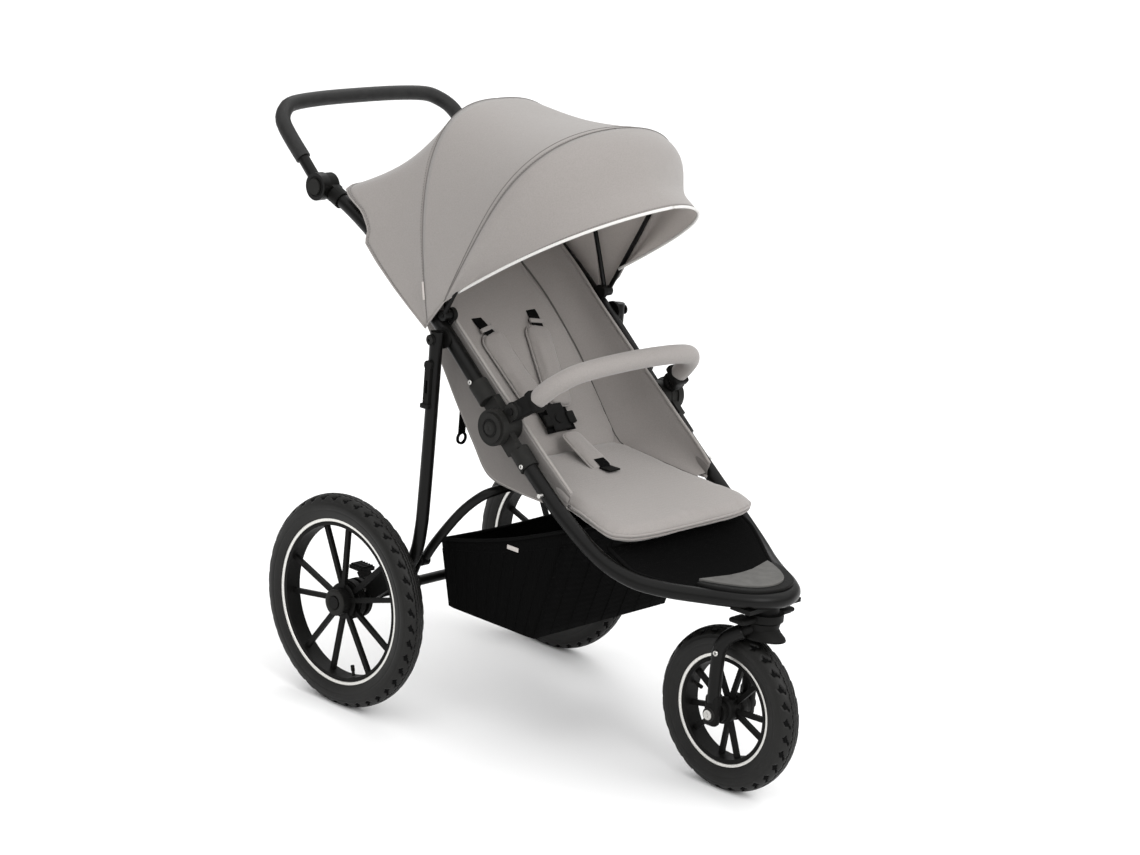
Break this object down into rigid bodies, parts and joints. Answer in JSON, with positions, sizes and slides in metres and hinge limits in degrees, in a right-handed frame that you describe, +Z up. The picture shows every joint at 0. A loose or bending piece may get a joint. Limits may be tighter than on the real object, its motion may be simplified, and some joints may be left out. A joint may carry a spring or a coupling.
{
  "type": "baby stroller",
  "caption": "Three-wheeled jogging stroller with a folding tube frame, reclining fabric seat, canopy, bumper bar, swivelling front wheel and basket.",
  "frame": {"origin": "middle of the bounding box's bottom face, on the floor", "axes": "+Z up, the child faces -Y, +X is the child's left"},
  "size_m": [0.626, 1.2214, 1.1279],
  "materials": {
    "tyre": "matte black rubber with a block tread",
    "grey_fabric": "warm grey plain woven polyester",
    "black_fabric": "black ribbed knit and webbing",
    "black_tube": "satin black powder coat",
    "steel": "zinc plated steel",
    "grey_plastic": "dark grey moulded plastic",
    "grip": "black leatherette",
    "black_plastic": "fine textured black plastic"
  },
  "bodies": {
    "front_frame": {"front_tube": "black_tube", "footplate": "grey_plastic", "footrest_fabric": "black_fabric", "head_housing": "black_plastic", "fold_lower_left": "black_plastic", "fold_lower_right": "black_plastic", "seat_cushion": "grey_fabric", "seat_side_left": "grey_fabric", "seat_side_right": "grey_fabric", "buckle": "black_plastic", "crotch_pad": "grey_fabric", "latch_pins": "steel", "basket": "black_fabric"},
    "swivel_lock": {"swivel_lock": "black_plastic"},
    "fork": {"fork": "black_plastic", "front_axle": "steel"},
    "front_wheel": {"front_tyre": "tyre", "front_rim": "black_plastic"},
    "bumper_bar": {"bumper_bar": "grey_fabric"},
    "bumper_button_left": {"bumper_button_left": "black_plastic"},
    "bumper_button_right": {"bumper_button_right": "black_plastic"},
    "buckle_button": {"buckle_button": "black_plastic"},
    "upper_frame": {"upper_tube_left": "black_tube", "upper_tube_right": "black_tube", "fold_upper_left": "black_plastic", "fold_upper_right": "black_plastic", "leg_brackets": "black_plastic", "canopy_brackets": "black_plastic", "handle_mounts": "black_plastic", "canopy_rear_panel": "grey_fabric"},
    "canopy_mid": {"mid_bow": "black_tube", "canopy_mid_panel": "grey_fabric"},
    "canopy_front": {"front_bow": "black_tube", "canopy_visor": "grey_fabric"},
    "handle": {"handle_tube": "black_tube", "handle_grip": "grip"},
    "handle_button_left": {"handle_button_left": "black_plastic"},
    "handle_button_right": {"handle_button_right": "black_plastic"},
    "backrest": {"backrest": "grey_fabric", "shoulder_straps": "black_fabric", "shoulder_pads": "grey_fabric", "pull_strap": "black_fabric"},
    "rear_legs": {"rear_leg_left": "black_tube", "rear_leg_right": "black_tube", "axle_tube": "black_tube", "axle_housing_left": "black_plastic", "axle_housing_right": "black_plastic"},
    "latch_lever": {"latch_lever": "black_plastic"},
    "brake_pedal": {"brake_pedal": "black_plastic"},
    "brake_pin_left": {"brake_pin_left": "steel"},
    "brake_pin_right": {"brake_pin_right": "steel"},
    "brace": {"brace_tube": "black_tube"},
    "rear_wheel_left": {"rear_tyre_left": "tyre", "rear_rim_left": "black_plastic"},
    "rear_wheel_right": {"rear_tyre_right": "tyre", "rear_rim_right": "black_plastic"},
    "wheel_button_left": {"wheel_button_left": "black_plastic"},
    "wheel_button_right": {"wheel_button_right": "black_plastic"}
  },
  "joints": [
    {"name": "frame_fold", "type": "hinge", "parent": "front_frame", "child": "upper_frame", "pos_m": [0, -0.056, 0.6], "axis": [1, 0, 0], "range_deg": [-108, 0], "deforming": ["seat_side_left", "seat_side_right", "backrest", "seat_cushion", "basket", "crotch_pad", "shoulder_pads", "shoulder_straps", "pull_strap"]},
    {"name": "leg_fold", "type": "hinge", "parent": "upper_frame", "child": "rear_legs", "pos_m": [0, 0.095, 0.728], "axis": [1, 0, 0], "range_deg": [0, 77.6], "deforming": ["canopy_rear_panel"]},
    {"name": "brace_fold", "type": "hinge", "parent": "rear_legs", "child": "brace", "pos_m": [0, 0.116, 0.303], "axis": [1, 0, 0], "range_deg": [-6.4, 0]},
    {"name": "fork_swivel", "type": "hinge", "parent": "front_frame", "child": "fork", "pos_m": [0, -0.519, 0], "axis": [0, 0, 1], "continuous": true},
    {"name": "front_wheel_spin", "type": "hinge", "parent": "fork", "child": "front_wheel", "pos_m": [0, -0.462, 0.149], "axis": [1, 0, 0], "continuous": true},
    {"name": "rear_wheel_left_spin", "type": "hinge", "parent": "rear_legs", "child": "rear_wheel_left", "pos_m": [0, 0.244, 0.2], "axis": [1, 0, 0], "continuous": true},
    {"name": "rear_wheel_right_spin", "type": "hinge", "parent": "rear_legs", "child": "rear_wheel_right", "pos_m": [0, 0.244, 0.2], "axis": [1, 0, 0], "continuous": true},
    {"name": "swivel_lock_turn", "type": "hinge", "parent": "front_frame", "child": "swivel_lock", "pos_m": [0, -0.519, 0], "axis": [0, 0, 1], "range_deg": [0, 30]},
    {"name": "bumper_swing", "type": "hinge", "parent": "front_frame", "child": "bumper_bar", "pos_m": [0, -0.086, 0.634], "axis": [1, 0, 0], "range_deg": [0, 60]},
    {"name": "bumper_button_left_press", "type": "slide", "parent": "bumper_bar", "child": "bumper_button_left", "axis": [-1, 0, 0], "range_m": [0, 0.003]},
    {"name": "bumper_button_right_press", "type": "slide", "parent": "bumper_bar", "child": "bumper_button_right", "axis": [1, 0, 0], "range_m": [0, 0.003]},
    {"name": "buckle_press", "type": "slide", "parent": "front_frame", "child": "buckle_button", "axis": [0, 0.7553, -0.6554], "range_m": [0, 0.0025]},
    {"name": "handle_tilt", "type": "hinge", "parent": "upper_frame", "child": "handle", "pos_m": [0, 0.444, 0.94], "axis": [1, 0, 0], "range_deg": [-65, 30]},
    {"name": "handle_button_left_press", "type": "slide", "parent": "handle", "child": "handle_button_left", "axis": [-1, 0, 0], "range_m": [0, 0.003]},
    {"name": "handle_button_right_press", "type": "slide", "parent": "handle", "child": "handle_button_right", "axis": [1, 0, 0], "range_m": [0, 0.003]},
    {"name": "recline", "type": "hinge", "parent": "upper_frame", "child": "backrest", "pos_m": [0, -0.018, 0.512], "axis": [1, 0, 0], "range_deg": [-28, 0], "deforming": ["seat_side_left", "seat_side_right"]},
    {"name": "canopy_mid_fold", "type": "hinge", "parent": "upper_frame", "child": "canopy_mid", "pos_m": [0, 0.104, 0.767], "axis": [1, 0, 0], "range_deg": [-34, 0], "deforming": ["canopy_rear_panel"]},
    {"name": "canopy_front_fold", "type": "hinge", "parent": "canopy_mid", "child": "canopy_front", "pos_m": [0, 0.104, 0.767], "axis": [1, 0, 0], "range_deg": [-40, 0], "deforming": ["canopy_mid_panel"]},
    {"name": "latch_turn", "type": "hinge", "parent": "rear_legs", "child": "latch_lever", "pos_m": [0, 0.094, 0.682], "axis": [1, 0, 0], "range_deg": [0, 35]},
    {"name": "brake_press", "type": "hinge", "parent": "rear_legs", "child": "brake_pedal", "pos_m": [0, 0.258, 0.222], "axis": [1, 0, 0], "range_deg": [-20, 0]},
    {"name": "brake_pin_left_slide", "type": "slide", "parent": "rear_legs", "child": "brake_pin_left", "axis": [1, 0, 0], "range_m": [0, 0.008]},
    {"name": "brake_pin_right_slide", "type": "slide", "parent": "rear_legs", "child": "brake_pin_right", "axis": [-1, 0, 0], "range_m": [0, 0.008]},
    {"name": "wheel_button_left_press", "type": "slide", "parent": "rear_wheel_left", "child": "wheel_button_left", "axis": [-1, 0, 0], "range_m": [0, 0.003]},
    {"name": "wheel_button_right_press", "type": "slide", "parent": "rear_wheel_right", "child": "wheel_button_right", "axis": [1, 0, 0], "range_m": [0, 0.003]}
  ],
  "couplings": [
    {"joint": "leg_fold", "follows": "frame_fold", "ratio": -0.71852},
    {"joint": "brace_fold", "follows": "frame_fold", "ratio": 0.05926},
    {"joint": "brake_pin_left_slide", "follows": "brake_press", "m_per_rad": -0.022918},
    {"joint": "brake_pin_right_slide", "follows": "brake_press", "m_per_rad": -0.022918}
  ]
}
